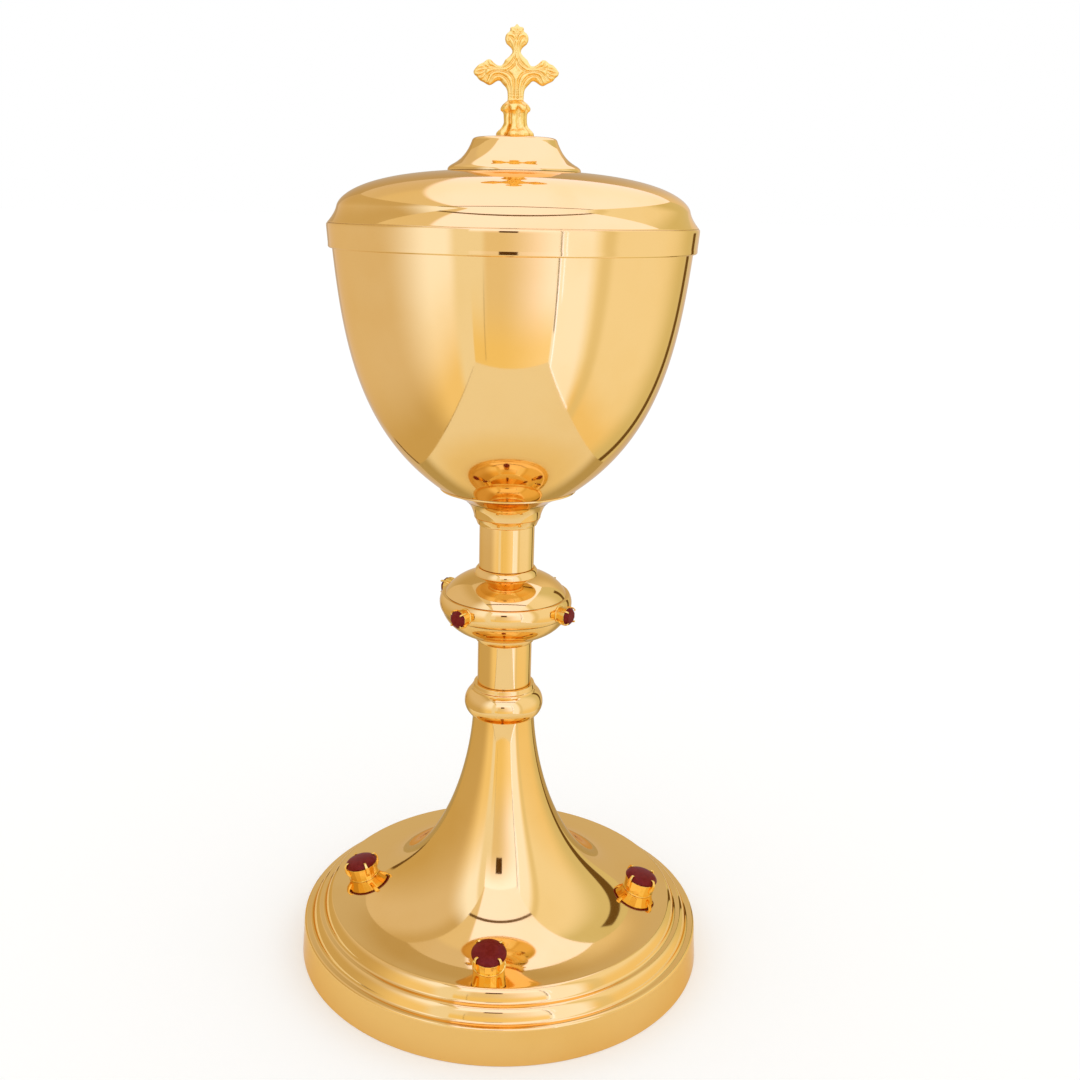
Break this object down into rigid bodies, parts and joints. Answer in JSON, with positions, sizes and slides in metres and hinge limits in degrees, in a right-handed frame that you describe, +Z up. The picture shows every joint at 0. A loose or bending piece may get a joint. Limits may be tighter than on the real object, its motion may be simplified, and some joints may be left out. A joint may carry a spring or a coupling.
{
  "type": "ciborium",
  "caption": "Lidded goblet-shaped vessel on a flared foot, with a jewelled knop on its stem and a domed lift-off lid topped by a small cross.",
  "frame": {"origin": "centre of the foot's flat rim, on the surface it stands on", "axes": "+Z up the stem's axis; -Y is the front that the cross faces; +X is to the right seen from the front"},
  "size_m": [0.1236, 0.1236, 0.27],
  "materials": {
    "polished_gilt": "mirror-polished and gilt",
    "cast_gilt": "cast, gilt, softly polished",
    "steel": "turned",
    "ruby_stone": "polished, opaque, faintly mottled"
  },
  "bodies": {
    "vessel": {"foot_shell": "polished_gilt", "stem_ring": "polished_gilt", "lower_stem_tube": "polished_gilt", "knop_lower_half": "polished_gilt", "knop_band": "polished_gilt", "knop_upper_half": "polished_gilt", "upper_stem_tube": "polished_gilt", "cup_collar": "polished_gilt", "cup_base_disc": "polished_gilt", "cup_shell": "polished_gilt", "tie_rod": "steel", "tie_rod_washer": "steel", "tie_rod_nut": "steel", "foot_setting_1": "cast_gilt", "foot_stone_1": "ruby_stone", "foot_setting_2": "cast_gilt", "foot_stone_2": "ruby_stone", "foot_setting_3": "cast_gilt", "foot_stone_3": "ruby_stone", "foot_setting_4": "cast_gilt", "foot_stone_4": "ruby_stone", "knop_setting_1": "cast_gilt", "knop_stone_1": "ruby_stone", "knop_setting_2": "cast_gilt", "knop_stone_2": "ruby_stone", "knop_setting_3": "cast_gilt", "knop_stone_3": "ruby_stone", "knop_setting_4": "cast_gilt", "knop_stone_4": "ruby_stone"},
    "lid": {"lid_rim_band": "polished_gilt", "lid_dome": "polished_gilt", "lid_boss": "polished_gilt", "cross_finial": "cast_gilt", "cross_stud": "steel", "cross_washer": "steel", "cross_nut": "steel"}
  },
  "joints": [
    {"name": "lid_lift", "type": "slide", "parent": "vessel", "child": "lid", "axis": [0, 0, 1], "range_m": [0, 0.08]}
  ]
}
